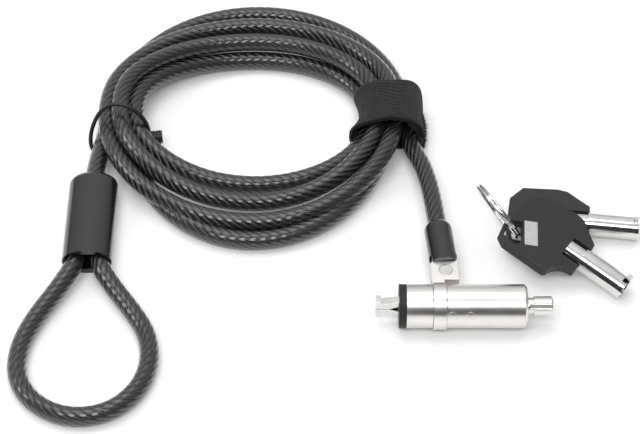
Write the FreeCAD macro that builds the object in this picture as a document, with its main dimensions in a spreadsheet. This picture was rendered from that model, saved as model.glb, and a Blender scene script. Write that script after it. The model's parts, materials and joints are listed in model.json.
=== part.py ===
import FreeCAD, Part
import math
import os
import re
from FreeCAD import Placement, Rotation, Vector

# Laptop cable lock in millimetres. The origin is the point where the lock's axis meets the rubber
# face that bears on the laptop: +X runs along the barrel towards the key post, +Z is up, and the
# whole lock, its coiled cable and its two keys lie on a table below the axis.

SIZES = {
    "table_drop": 6.75,
    "cable_radius": 2.75,
    "rope_radius": 2.0,
    "coil_x": -43.0,
    "coil_y": 77.3,
    "coil_half_x": 48.5,
    "coil_half_y": 51.3,
    "coil_hole_half_x": 36.0,
    "coil_hole_half_y": 24.5,
    "coil_hole_shift": -0.2,
    "coil_height": 12.6,
    "coil_rounding": 5.0,
    "strap_x": -0.9,
    "strap_y": 76.0,
    "strap_width": 17.0,
    "strap_thickness": 1.3,
    "strap_span": 16.0,
    "strap_rise": 11.7,
    "strap_rounding": 4.5,
    "pile_length": 9.0,
    "tie_x": -84.3,
    "tie_y": 68.0,
    "tie_turn": 8.0,
    "tie_span": 16.2,
    "tie_rise": 14.4,
    "tie_thickness": 1.3,
    "tie_width": 1.8,
    "tie_rounding": 6.0,
    "tie_head_length": 4.0,
    "tie_head_width": 3.6,
    "tie_head_height": 3.1,
    "sleeve_x": -90.5,
    "sleeve_top_y": 51.0,
    "sleeve_length": 33.0,
    "sleeve_half_width": 7.25,
    "sleeve_half_height": 5.0,
    "sleeve_dome": 3.2,
    "sleeve_hollow_length": 26.0,
    "sleeve_hollow_radius": 3.3,
    "leg_offset": 2.9,
    "crimp_start_y": 27.0,
    "crimp_length": 6.0,
    "rivet_x": 13.8,
    "rivet_y": 11.9,
    "lead_turn": 5.3,
    "boot_start": 3.3,
    "boot_length": 16.1,
    "boot_slot": 4.5,
    "boot_radius": 4.1,
    "boot_rounding": 3.0,
    "terminal_radius": 3.2,
    "terminal_start": 6.0,
    "terminal_end": 17.0,
    "rope_start": 8.0,
    "tongue_half_width": 3.0,
    "tongue_thickness": 1.7,
    "tongue_hole": 1.55,
    "ear_thickness": 4.2,
    "ear_slot": 1.9,
    "ear_left": 9.5,
    "ear_width": 8.0,
    "ear_near_y": 8.2,
    "ear_reach": 3.2,
    "ear_rounding": 1.0,
    "ear_neck_width": 3.6,
    "rivet_radius": 1.45,
    "rivet_head_radius": 1.9,
    "rivet_head_depth": 0.4,
    "collar_start": 9.7,
    "collar_width": 3.7,
    "collar_radius": 6.75,
    "groove_radius": 5.6,
    "groove_clearance": 0.08,
    "groove_side_gap": 0.1,
    "washer_thickness": 2.1,
    "barrel_radius": 6.3,
    "barrel_length": 34.3,
    "barrel_bore": 4.6,
    "barrel_back_wall": 1.3,
    "barrel_back_hole": 3.0,
    "barrel_chamfer": 0.7,
    "nose_length": 14.5,
    "nose_slot_length": 11.1,
    "nose_slot_width": 2.6,
    "nose_slot_height": 7.8,
    "claw_thickness": 2.4,
    "claw_pivot_x": 10.5,
    "claw_pivot_z": 1.95,
    "claw_pin_radius": 0.5,
    "claw_pin_length": 7.6,
    "claw_hole_radius": 0.56,
    "stake_radius": 1.1,
    "stake_depth": 2.9,
    "stake_front_x": 14.9,
    "stake_back_x": 20.1,
    "stake_tilt": 65.0,
    "spreader_radius": 0.9,
    "spreader_tip_radius": 0.2,
    "spreader_tip_x": 0.5,
    "spreader_taper": 2.5,
    "spreader_back_x": 30.0,
    "plunger_x": 21.0,
    "plunger_length": 13.6,
    "plunger_radius": 4.5,
    "plunger_spring_bore": 3.0,
    "plunger_spring_depth": 6.0,
    "plunger_core_x": 31.0,
    "plunger_core_bore": 4.0,
    "plunger_slot_length": 4.8,
    "plunger_slot_width": 2.4,
    "spring_x": 17.0,
    "spring_length": 9.6,
    "spring_coil_radius": 2.3,
    "spring_wire_radius": 0.3,
    "spring_pitch": 1.55,
    "core_gap": 0.05,
    "core_flange_radius": 3.95,
    "core_flange_length": 3.1,
    "post_radius": 2.8,
    "post_end_x": 43.8,
    "neck_x": 36.7,
    "neck_length": 1.7,
    "neck_radius": 2.4,
    "post_groove_width": 1.2,
    "post_groove_depth": 0.9,
    "post_groove_turn": 45.0,
    "post_chamfer": 0.4,
    "retainer_length": 0.4,
    "pin_circle": 1.55,
    "pin_hole_radius": 0.5,
    "pin_radius": 0.45,
    "driver_length": 1.4,
    "driver_spring_length": 1.8,
    "driver_spring_bore": 0.3,
    "key_pin_length": 12.2,
    "key_barrel_radius": 3.45,
    "key_bore_radius": 2.95,
    "key_bore_depth": 8.0,
    "key_barrel_length": 20.2,
    "key_root_length": 5.2,
    "key_root_radius": 2.9,
    "key_tang_length": 6.8,
    "key_tang_width": 5.0,
    "key_tang_thickness": 1.8,
    "key_notch_width": 1.8,
    "key_notch_length": 1.6,
    "key_collar_radius": 3.6,
    "key_collar_length": 1.5,
    "key_lug_height": 0.8,
    "key_lug_width": 1.4,
    "key_lug_turn": -75.0,
    "bow_thickness": 3.2,
    "label_length": 8.4,
    "label_width": 3.9,
    "label_depth": 0.5,
    "label_turn": -57.0,
    "label_x": -31.0,
    "label_y": -3.9,
    "front_tip_x": 65.6,
    "front_tip_y": 9.1,
    "front_tip_z": -3.21,
    "front_heading": -35.2,
    "front_slope": 12.5,
    "back_tip_x": 71.7,
    "back_tip_y": 32.0,
    "back_tip_z": -3.13,
    "back_heading": -5.9,
    "back_slope": 1.2,
    "ring_x": 30.0,
    "ring_y": 33.0,
    "ring_z": 3.44,
    "ring_radius": 9.5,
    "ring_wire_radius": 0.5,
    "ring_wire_offset": 0.45,
}

ALONG_X = Rotation(Vector(0, 1, 0), 90)
ALONG_Y = Rotation(Vector(1, 0, 0), -90)
UPRIGHT = Rotation()
ORIGIN = ("0", "0", "0")

# The lead runs straight out of the boot, then bends into the right side of the coil.
LOCK_LEAD_ROUTE = [
    (10.2, 47.8, -0.5),
    (8.4, 56.4, -1.2),
    (5.4, 63.2, -1.5),
    (1.6, 67.2, -1.6),
]
# From the crimp's far face the cable swings to the middle of the sleeve, out of its top and into
# the left side of the coil.
COIL_LEAD_ROUTE = [
    (-93.4, 33.0, -1.75),
    (-93.4, 39.5, -1.75),
    (-90.6, 48.0, -1.75),
    (-90.2, 57.0, -1.6),
    (-88.2, 65.0, -1.2),
    (-85.2, 72.0, -1.0),
]
# The end loop lies on the table as a teardrop between the two legs that enter the crimp.
END_LOOP_ROUTE = [
    (-87.6, 27.0, -1.75),
    (-87.6, 18.2, -1.75),
    (-82.6, 9.6, -2.7),
    (-76.4, 1.2, -3.6),
    (-71.6, -7.0, -4.0),
    (-70.2, -16.6, -4.0),
    (-72.8, -26.6, -4.0),
    (-80.4, -34.6, -4.0),
    (-91.6, -36.6, -4.0),
    (-102.0, -31.8, -4.0),
    (-107.8, -22.4, -4.0),
    (-107.8, -11.6, -4.0),
    (-104.2, -1.6, -3.6),
    (-98.0, 9.0, -2.7),
    (-93.4, 18.2, -1.75),
    (-93.4, 27.0, -1.75),
]

doc = FreeCAD.newDocument("CableLock")
sheet = doc.addObject("Spreadsheet::Sheet", "Sizes")
for row, (alias, number) in enumerate(SIZES.items(), start=1):
    sheet.set(f"A{row}", alias)
    sheet.set(f"B{row}", str(number))
    sheet.setAlias(f"B{row}", alias)
doc.recompute()


def size(alias):
    """The value that the sheet holds under this alias."""
    return float(sheet.get(alias))


def bound(formula):
    """The formula with each size in it read from the sheet."""
    return re.sub(r"[a-z][a-z_]+", lambda word: "Sizes." + word.group(), formula)


def bind(part, **formulas):
    for name, formula in formulas.items():
        part.setExpression(name, bound(formula))


def place(part, at=ORIGIN, rotation=UPRIGHT):
    """Puts a part at three formulas, turned by a fixed rotation. A plain 0 is left unbound."""
    part.Placement = Placement(Vector(), rotation)
    for letter, formula in zip("xyz", at):
        if formula != "0":
            part.setExpression("Placement.Base." + letter, bound(formula))
    return part


def cylinder(name, radius, length, at=ORIGIN, rotation=ALONG_X):
    part = doc.addObject("Part::Cylinder", name)
    bind(part, Radius=radius, Height=length)
    return place(part, at, rotation)


def cone(name, start_radius, end_radius, length, at=ORIGIN, rotation=ALONG_X):
    part = doc.addObject("Part::Cone", name)
    bind(part, Radius1=start_radius, Radius2=end_radius, Height=length)
    return place(part, at, rotation)


def box(name, length, width, height, at=ORIGIN, rotation=UPRIGHT):
    """A box whose corner is at the given place."""
    part = doc.addObject("Part::Box", name)
    bind(part, Length=length, Width=width, Height=height)
    return place(part, at, rotation)


def fuse(name, *parts):
    part = doc.addObject("Part::MultiFuse", name)
    part.Shapes = list(parts)
    return part


def cut(name, base, *tools):
    part = doc.addObject("Part::Cut", name)
    part.Base = base
    part.Tool = tools[0] if len(tools) == 1 else fuse(name + "_tools", *tools)
    return part


def group(name, *parts):
    """One node of separate solids, for small pieces that are all alike."""
    part = doc.addObject("Part::Compound", name)
    part.Links = list(parts)
    return part


def feature(name, shape, placement=None):
    """A part whose shape is made by Part's own functions."""
    part = doc.addObject("Part::Feature", name)
    part.Shape = shape
    if placement is not None:
        part.Placement = placement
    return part


def sketch_on(body, name, plane, edges):
    """A sketch on one of the body's own origin planes."""
    sketch = body.newObject("Sketcher::SketchObject", name)
    support = next(f for f in body.Origin.OriginFeatures if f.Role == plane)
    sketch.AttachmentSupport = [(support, "")]
    sketch.MapMode = "FlatFace"
    sketch.addGeometry(edges, False)
    return sketch


def pad(body, name, plane, edges, length, both_ways=True):
    sketch = sketch_on(body, name + "_sketch", plane, edges)
    part = body.newObject("PartDesign::Pad", name)
    part.Profile = sketch
    bind(part, Length=length)
    part.SideType = "Symmetric" if both_ways else "One side"
    sketch.Visibility = False
    return part


def pocket(body, name, plane, edges, length):
    """A pocket that reaches the same way to both sides of its sketch."""
    doc.recompute()
    before = body.Shape.Volume
    sketch = sketch_on(body, name + "_sketch", plane, edges)
    part = body.newObject("PartDesign::Pocket", name)
    part.Profile = sketch
    bind(part, Length=length)
    part.SideType = "Symmetric"
    doc.recompute()
    if not body.Shape.Volume < before:
        raise RuntimeError(f"{name} removes nothing")
    return part


def fillet(body, name, base, radius, chosen):
    """Rounds the edges of a feature that the test chooses."""
    doc.recompute()
    names = [f"Edge{i}" for i, edge in enumerate(base.Shape.Edges, start=1) if chosen(edge)]
    part = body.newObject("PartDesign::Fillet", name)
    part.Base = (base, names)
    bind(part, Radius=radius)
    return part


def polygon(points):
    """Line segments round a closed outline."""
    corners = [Vector(x, y, 0) for x, y in points]
    return [Part.LineSegment(a, b) for a, b in zip(corners, corners[1:] + corners[:1])]


def rectangle(x, y, length, width, turn=0.0):
    """The four sides of a rectangle centred on a point and turned by some degrees."""
    rotation = Rotation(Vector(0, 0, 1), turn)
    corners = [(-length, -width), (length, -width), (length, width), (-length, width)]
    turned = [rotation.multVec(Vector(a / 2, b / 2, 0)) for a, b in corners]
    return polygon([(x + corner.x, y + corner.y) for corner in turned])


def rounded_rectangle(x, y, width, height, radius):
    """Four straight sides joined by quarter circles."""
    edges = []
    half_w, half_h = width / 2 - radius, height / 2 - radius
    for quarter, (side_x, side_y) in enumerate([(1, 1), (-1, 1), (-1, -1), (1, -1)]):
        centre = Vector(x + side_x * half_w, y + side_y * half_h, 0)
        start = math.pi / 2 * quarter
        circle = Part.Circle(centre, Vector(0, 0, 1), radius)
        edges.append(Part.ArcOfCircle(circle, start, start + math.pi / 2))
    ends = [(edge.StartPoint, edge.EndPoint) for edge in edges]
    for (_, end), (start, _) in zip(ends, ends[1:] + ends[:1]):
        edges.append(Part.LineSegment(end, start))
    return edges


def hoop(name, inside_width, inside_height, rounding, thickness, width):
    """A band round an upright opening, which its body's own Y axis passes through."""
    body = doc.addObject("PartDesign::Body", name)
    outer = rounded_rectangle(
        0, 0, inside_width + 2 * thickness, inside_height + 2 * thickness, rounding + thickness
    )
    inner = rounded_rectangle(0, 0, inside_width, inside_height, rounding)
    pad(body, name + "_pad", "XZ_Plane", outer + inner, width)
    return body


def route_path(points, name):
    """Straight runs joined by arcs as large as the two runs allow."""
    edges, radii = [], []
    start = points[0]
    for before, corner, after in zip(points, points[1:], points[2:]):
        arriving = (corner - before).normalize()
        leaving = (after - corner).normalize()
        setback = 0.45 * min((corner - before).Length, (after - corner).Length)
        half_turn = arriving.getAngle(leaving) / 2
        radius = setback / math.tan(half_turn)
        inward = (leaving - arriving).normalize()
        middle = corner + inward * (radius / math.cos(half_turn) - radius)
        arc_start = corner - arriving * setback
        arc_end = corner + leaving * setback
        edges.append(Part.LineSegment(start, arc_start).toShape())
        edges.append(Part.Arc(arc_start, middle, arc_end).toShape())
        radii.append(radius)
        start = arc_end
    edges.append(Part.LineSegment(start, points[-1]).toShape())
    print(name, "bend radii in mm:", " ".join(f"{radius:.0f}" for radius in radii))
    return Part.Wire(edges)


def cable_tube(name, points):
    """The round cable along a route, with its volume checked against its section and length."""
    vectors = [Vector(*point) for point in points]
    path = route_path(vectors, name)
    section = Part.Wire(
        Part.Circle(vectors[0], vectors[1] - vectors[0], size("cable_radius")).toShape()
    )
    tube = path.makePipeShell([section], True, False)
    ideal = math.pi * size("cable_radius") ** 2 * path.Length
    print(f"{name} length {path.Length:.1f} mm, volume {tube.Volume / ideal:.3f} of the ideal")
    return feature(name, tube)


def lead_frame():
    """The rivet's centre, with +Y turned to run along the cable that leaves it."""
    turn = Rotation(Vector(0, 0, 1), size("lead_turn"))
    return Placement(Vector(size("rivet_x"), size("rivet_y"), 0), turn)


def in_lead_frame(part):
    part.Placement = lead_frame().multiply(part.Placement)
    return part


# Cable, its coil and what is on it


def make_coil(strap, tie):
    body = doc.addObject("PartDesign::Body", "coil_ring")
    outer = Part.Ellipse(Vector(), size("coil_half_y"), size("coil_half_x"))
    outer.XAxis = Vector(0, 1, 0)
    hole_centre = Vector(0, size("coil_hole_shift"), 0)
    hole = Part.Ellipse(hole_centre, size("coil_hole_half_x"), size("coil_hole_half_y"))
    ring = pad(body, "coil_pad", "XY_Plane", [outer, hole], "coil_height", both_ways=False)
    fillet(body, "coil_rounded", ring, "coil_rounding", lambda edge: edge.Length > 50)
    place(body, ("coil_x", "coil_y", "-table_drop"))
    return body, cut("cable_coil", body, strap, tie)


def make_strap():
    band = hoop(
        "strap_band",
        size("strap_span"),
        size("strap_rise"),
        size("strap_rounding"),
        size("strap_thickness"),
        "strap_width",
    )
    place(band, ("strap_x", "strap_y", "strap_thickness + strap_rise / 2 - table_drop"))
    pile = box(
        "strap_pile_end",
        "strap_thickness",
        "pile_length",
        "pile_length",
        (
            "strap_x + strap_span / 2 + strap_thickness",
            "strap_y - strap_width / 2 - pile_length / 4",
            "0.3 - table_drop",
        ),
    )
    return band, pile


def make_tie():
    turn = Rotation(Vector(0, 0, 1), size("tie_turn"))
    loop = hoop(
        "wire_tie",
        size("tie_span"),
        size("tie_rise"),
        size("tie_rounding"),
        size("tie_thickness"),
        "tie_width",
    )
    place(loop, ("tie_x", "tie_y", "tie_thickness + tie_rise / 2 - table_drop"), turn)
    reach = size("tie_span") / 2 + size("tie_thickness")
    corner = Vector(reach, -size("tie_head_width") / 2, size("tie_head_height") - size("table_drop"))
    head = box("tie_head", "tie_head_length", "tie_head_width", "tie_head_width")
    centre = Vector(size("tie_x"), size("tie_y"), 0)
    head.Placement = Placement(centre, turn).multiply(Placement(corner, UPRIGHT))
    return loop, head


def make_sleeve(coil_lead):
    body = doc.addObject("PartDesign::Body", "sleeve_body")
    outline = Part.Ellipse(Vector(), size("sleeve_half_width"), size("sleeve_half_height"))
    shell = pad(body, "sleeve_pad", "XZ_Plane", [outline], "sleeve_length", both_ways=False)
    doc.recompute()
    top = max(edge.CenterOfMass.y for edge in shell.Shape.Edges)
    fillet(
        body,
        "sleeve_rounded",
        shell,
        "sleeve_dome",
        lambda edge: edge.Length > 30 and abs(edge.CenterOfMass.y - top) < 0.1,
    )
    doc.recompute()
    place(body, ("sleeve_x", f"sleeve_top_y - {top}", "sleeve_half_height - table_drop"))
    hollow = oval("sleeve_hollow", "sleeve_top_y - sleeve_length", "sleeve_hollow_length")
    return cut("loop_sleeve", body, hollow, coil_lead)


def oval(name, start_y, length):
    """Two cylinders side by side and the block between them, as the sleeve's hollow and its crimp."""
    middle_z = "sleeve_half_height - table_drop"
    block = box(
        name + "_block",
        "2 * sleeve_hollow_radius",
        length,
        "2 * sleeve_hollow_radius",
        ("sleeve_x - sleeve_hollow_radius", start_y, middle_z + " - sleeve_hollow_radius"),
    )
    lobes = [
        cylinder(
            f"{name}_{side}",
            "sleeve_hollow_radius",
            length,
            (f"sleeve_x {sign} sleeve_hollow_radius", start_y, middle_z),
            ALONG_Y,
        )
        for side, sign in (("left", "-"), ("right", "+"))
    ]
    return fuse(name, block, *lobes)


def make_crimp():
    """An oval crimp on the two bare rope legs inside the moulded sleeve."""
    middle_z = "sleeve_half_height - table_drop"
    blank = oval("crimp_blank", "crimp_start_y", "crimp_length")
    bores, ropes = [], []
    for side, sign in (("left", "-"), ("right", "+")):
        at = (f"sleeve_x {sign} leg_offset", "crimp_start_y", middle_z)
        bores.append(cylinder(f"crimp_bore_{side}", "rope_radius", "crimp_length", at, ALONG_Y))
        ropes.append(cylinder(f"rope_leg_{side}", "rope_radius", "crimp_length", at, ALONG_Y))
    return cut("loop_crimp", blank, *bores), group("loop_rope_ends", *ropes)


# Terminal, boot and ear


def make_terminal():
    eye = cylinder("tongue_eye", "tongue_half_width", "tongue_thickness", rotation=UPRIGHT)
    plate = box(
        "tongue_plate", "2 * tongue_half_width", "terminal_start", "tongue_thickness"
    )
    place(eye, ("0", "0", "-tongue_thickness / 2"))
    place(plate, ("-tongue_half_width", "0", "-tongue_thickness / 2"))
    barrel = cylinder(
        "terminal_barrel",
        "terminal_radius",
        "terminal_end - terminal_start",
        ("0", "terminal_start", "0"),
        ALONG_Y,
    )
    hole = cylinder("tongue_eye_hole", "tongue_hole", "4", ("0", "0", "-2"), UPRIGHT)
    rope_bore = cylinder(
        "terminal_bore", "rope_radius", "terminal_end - rope_start", ("0", "rope_start", "0"), ALONG_Y
    )
    whole = fuse("terminal_whole", eye, plate, barrel)
    return in_lead_frame(cut("cable_terminal", whole, hole, rope_bore))


def make_terminal_rope():
    rope = cylinder(
        "terminal_rope_end", "rope_radius", "terminal_end - rope_start", ("0", "0", "0"), ALONG_Y
    )
    rope.Placement = lead_frame().multiply(Placement(Vector(0, size("rope_start"), 0), ALONG_Y))
    return rope


def make_boot():
    """The moulded boot: a straight body with a rounded shoulder; its slot swings over the ear."""
    body = doc.addObject("PartDesign::Body", "boot_body")
    start, end = size("boot_start"), size("boot_start") + size("boot_length")
    radius, rounding = size("boot_radius"), size("boot_rounding")
    inner, cable, step = size("terminal_radius"), size("cable_radius"), size("terminal_end")
    bore_start = size("terminal_start")
    centre = Vector(radius - rounding, end - rounding, 0)
    lip_angle = math.acos((cable - centre.x) / rounding)
    middle = centre + Vector(math.cos(lip_angle / 2), math.sin(lip_angle / 2), 0) * rounding
    lip = centre + Vector(math.cos(lip_angle), math.sin(lip_angle), 0) * rounding
    corners = [
        lip,
        Vector(cable, step, 0),
        Vector(inner, step, 0),
        Vector(inner, bore_start, 0),
        Vector(0, bore_start, 0),
        Vector(0, start, 0),
        Vector(radius, start, 0),
        Vector(radius, end - rounding, 0),
    ]
    edges = [Part.LineSegment(a, b) for a, b in zip(corners, corners[1:])]
    edges.append(Part.Arc(corners[-1], middle, lip))
    sketch = sketch_on(body, "boot_sketch", "XY_Plane", edges)
    turned = body.newObject("PartDesign::Revolution", "boot_turned")
    turned.Profile = sketch
    turned.ReferenceAxis = (sketch, ["V_Axis"])
    turned.Angle = 360
    slot = box("boot_slot_box", "2 * boot_radius + 2", "terminal_start - boot_start + 1", "boot_slot")
    slot.Placement = Placement(Vector(-radius - 1, start - 1, -size("boot_slot") / 2), UPRIGHT)
    return in_lead_frame(cut("crimp_boot", body, slot))


def make_collar():
    """The swivel collar: a ring in the barrel's groove with a forked ear for the terminal."""
    ring = cylinder("collar_ring", "collar_radius", "collar_width", ("collar_start", "0", "0"))
    neck = box(
        "collar_neck",
        "ear_neck_width",
        "ear_near_y - groove_radius + 0.5",
        "ear_thickness",
        ("collar_start", "groove_radius", "-ear_thickness / 2"),
    )
    blank = box(
        "ear_blank",
        "ear_width",
        "rivet_y + ear_reach - ear_near_y",
        "ear_thickness",
        ("ear_left", "ear_near_y", "-ear_thickness / 2"),
    )
    doc.recompute()
    far_y = size("rivet_y") + size("ear_reach")
    plate = doc.addObject("Part::Fillet", "ear_plate")
    plate.Base = blank
    plate.Edges = [
        (number, size("ear_rounding"), size("ear_rounding"))
        for number, edge in enumerate(blank.Shape.Edges, start=1)
        if abs(edge.CenterOfMass.y - far_y) < 0.1 and abs(edge.CenterOfMass.z) < 0.1
    ]
    bore = cylinder(
        "collar_bore",
        "groove_radius + groove_clearance",
        "collar_width + 2",
        ("collar_start - 1", "0", "0"),
    )
    slot = box(
        "ear_fork",
        "ear_width + 4",
        "12",
        "ear_slot",
        ("ear_left - 2", "rivet_y - tongue_half_width - 0.25", "-ear_slot / 2"),
    )
    shank = cylinder(
        "ear_hole", "rivet_radius", "6", ("rivet_x", "rivet_y", "-3"), UPRIGHT
    )
    heads = [
        cylinder(
            f"ear_sink_{side}",
            "rivet_head_radius + 0.1",
            "rivet_head_depth + 1",
            ("rivet_x", "rivet_y", low),
            UPRIGHT,
        )
        for side, low in (
            ("top", "ear_thickness / 2 - rivet_head_depth"),
            ("under", "-ear_thickness / 2 - 1"),
        )
    ]
    whole = fuse("collar_whole", ring, neck, plate)
    return cut("swivel_collar", whole, bore, slot, shank, *heads)


def make_rivet():
    shank = cylinder(
        "rivet_shank",
        "rivet_radius",
        "ear_thickness",
        ("rivet_x", "rivet_y", "-ear_thickness / 2"),
        UPRIGHT,
    )
    heads = [
        cylinder(
            f"rivet_head_{side}",
            "rivet_head_radius",
            "rivet_head_depth",
            ("rivet_x", "rivet_y", low),
            UPRIGHT,
        )
        for side, low in (
            ("top", "ear_thickness / 2 - rivet_head_depth"),
            ("under", "-ear_thickness / 2"),
        )
    ]
    return fuse("ear_rivet", shank, *heads)


# Barrel


def stake_cylinder(name, alias, radius, depth):
    """A radial pin, its outer end flush with the barrel, on the side that faces forward and up."""
    tilt = Rotation(Vector(1, 0, 0), size("stake_tilt"))
    outward = tilt.multVec(Vector(0, 0, 1))
    inner_end = outward * (size("barrel_radius") - size("stake_depth"))
    part = cylinder(name, radius, depth)
    part.Placement = Placement(inner_end + Vector(size(alias), 0, 0), tilt)
    return part


def make_barrel():
    outer = doc.addObject("Part::Chamfer", "barrel_outer")
    blank = cylinder(
        "barrel_blank", "barrel_radius", "barrel_length", ("washer_thickness", "0", "0")
    )
    doc.recompute()
    end_x = size("washer_thickness") + size("barrel_length")
    end_edges = [
        (number, size("barrel_chamfer"), size("barrel_chamfer"))
        for number, edge in enumerate(blank.Shape.Edges, start=1)
        if edge.Closed and abs(edge.CenterOfMass.x - end_x) < 0.1
    ]
    outer.Base = blank
    outer.Edges = end_edges
    inside = cylinder(
        "barrel_inside",
        "barrel_bore",
        "barrel_length - barrel_back_wall",
        ("washer_thickness", "0", "0"),
    )
    back_hole = cylinder("barrel_exit", "barrel_back_hole", "barrel_length + 4", ("2", "0", "0"))
    groove_blank = cylinder(
        "groove_blank",
        "barrel_radius + 1",
        "collar_width + 2 * groove_side_gap",
        ("collar_start - groove_side_gap", "0", "0"),
    )
    groove_core = cylinder(
        "groove_core", "groove_radius", "collar_width + 4", ("collar_start - 2", "0", "0")
    )
    groove = cut("barrel_groove", groove_blank, groove_core)
    stake_holes = [
        stake_cylinder(f"{alias}_hole", alias, "stake_radius", "stake_depth + 1")
        for alias in ("stake_front_x", "stake_back_x")
    ]
    return cut("barrel_shell", outer, inside, back_hole, groove, *stake_holes)


def make_stakes():
    pins = []
    for alias in ("stake_front_x", "stake_back_x"):
        pin = stake_cylinder(f"{alias}_blank", alias, "stake_radius", "stake_depth + 1")
        around = cylinder(
            f"{alias}_around", "barrel_radius", "barrel_length", ("washer_thickness", "0", "0")
        )
        flush = doc.addObject("Part::Common", f"{alias}_pin")
        flush.Base = pin
        flush.Tool = around
        pins.append(flush)
    return group("stake_pins", *pins)


def make_washer():
    disc = cylinder("washer_disc", "barrel_radius", "washer_thickness")
    slot = box(
        "washer_slot",
        "washer_thickness + 2",
        "nose_slot_width + 0.2",
        "nose_slot_height",
        ("-1", "-nose_slot_width / 2 - 0.1", "-nose_slot_height / 2"),
    )
    return cut("face_washer", disc, slot)


def make_nose():
    block = cylinder("nose_blank", "barrel_bore", "nose_length", ("washer_thickness", "0", "0"))
    slot = box(
        "nose_slot",
        "nose_slot_length + 1",
        "nose_slot_width",
        "nose_slot_height",
        ("washer_thickness - 1", "-nose_slot_width / 2", "-nose_slot_height / 2"),
    )
    guide = cylinder("nose_guide", "spreader_radius + 0.1", "20")
    stake = stake_cylinder("nose_stake_hole", "stake_front_x", "stake_radius", "stake_depth + 1")
    return cut("nose_block", block, slot, guide, stake, *claw_pins("nose_pin_hole"))


def claw_pins(name):
    return [
        cylinder(
            f"{name}_{side}",
            "claw_pin_radius",
            "claw_pin_length",
            ("claw_pivot_x", "-claw_pin_length / 2", f"{sign}claw_pivot_z"),
            ALONG_Y,
        )
        for side, sign in (("upper", ""), ("lower", "-"))
    ]


def make_claw(name, side):
    """A flat hooked claw; the two lie face to face at their tips and open round the spreader."""
    outline = [
        (-6.7, 0.1),
        (-2.5, 0.1),
        (-0.2, 1.0),
        (10.0, 1.02),
        (12.0, 1.3),
        (12.0, 2.9),
        (0.0, 2.9),
        (-5.1, 2.25),
        (-5.1, 3.4),
        (-6.7, 3.4),
    ]
    body = doc.addObject("PartDesign::Body", name)
    placed = [(x, side * z) for x, z in outline]
    pad(body, name + "_pad", "XZ_Plane", polygon(placed), "claw_thickness")
    hole = Part.Circle(
        Vector(size("claw_pivot_x"), side * size("claw_pivot_z"), 0),
        Vector(0, 0, 1),
        size("claw_hole_radius"),
    )
    pocket(body, name + "_hole", "XZ_Plane", [hole], "claw_thickness + 2")
    return body


# Plunger and lock core


def ring_of(name, count, radius, length, start_x):
    """Equal small cylinders on the pin circle."""
    parts = []
    for number in range(count):
        angle = 2 * math.pi * number / count
        across = size("pin_circle") * math.cos(angle)
        up = size("pin_circle") * math.sin(angle)
        at = (start_x, f"{across:.4f}", f"{up:.4f}")
        parts.append(cylinder(f"{name}_{number + 1}", radius, length, at))
    return parts


PIN_COUNT = 4
DRIVER_START = "plunger_core_x - driver_length"
DRIVER_SPRING_START = "plunger_core_x - driver_length - driver_spring_length"


def make_plunger():
    blank = cylinder("plunger_blank", "plunger_radius", "plunger_length", ("plunger_x", "0", "0"))
    spring_room = cylinder(
        "plunger_spring_room", "plunger_spring_bore", "plunger_spring_depth + 1", ("plunger_x - 1", "0", "0")
    )
    core_room = cylinder(
        "plunger_core_room", "plunger_core_bore", "plunger_length", ("plunger_core_x", "0", "0")
    )
    spreader_hole = cylinder(
        "plunger_spreader_hole", "spreader_radius", "spreader_back_x - plunger_x", ("plunger_x", "0", "0")
    )
    slot = box(
        "plunger_slot_box",
        "plunger_slot_length + 1",
        "plunger_slot_width",
        "plunger_radius + 1",
    )
    tilt = Rotation(Vector(1, 0, 0), size("stake_tilt"))
    corner = tilt.multVec(Vector(0, -size("plunger_slot_width") / 2, 1.5))
    slot.Placement = Placement(corner + Vector(size("plunger_x") - 1, 0, 0), tilt)
    holes = ring_of(
        "driver_hole",
        PIN_COUNT,
        "pin_hole_radius",
        "driver_length + driver_spring_length",
        DRIVER_SPRING_START,
    )
    return cut("plunger_sleeve", blank, spring_room, core_room, spreader_hole, slot, *holes)


def make_spreader():
    tip = cone(
        "spreader_tip",
        "spreader_tip_radius",
        "spreader_radius",
        "spreader_taper",
        ("spreader_tip_x", "0", "0"),
    )
    rod = cylinder(
        "spreader_rod",
        "spreader_radius",
        "spreader_back_x - spreader_tip_x - spreader_taper",
        ("spreader_tip_x + spreader_taper", "0", "0"),
    )
    return fuse("spreader_pin", tip, rod)


def make_spring():
    wire = size("spring_wire_radius")
    coil = size("spring_coil_radius")
    helix = Part.makeHelix(size("spring_pitch"), size("spring_length") - 2 * wire, coil)
    section = Part.Wire(Part.Circle(Vector(coil, 0, 0), Vector(0, 1, 0), wire).toShape())
    spring = Part.Wire(helix).makePipeShell([section], True, True)
    start = Vector(size("spring_x") + wire, 0, 0)
    return feature("return_spring", spring, Placement(start, ALONG_X))


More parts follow.
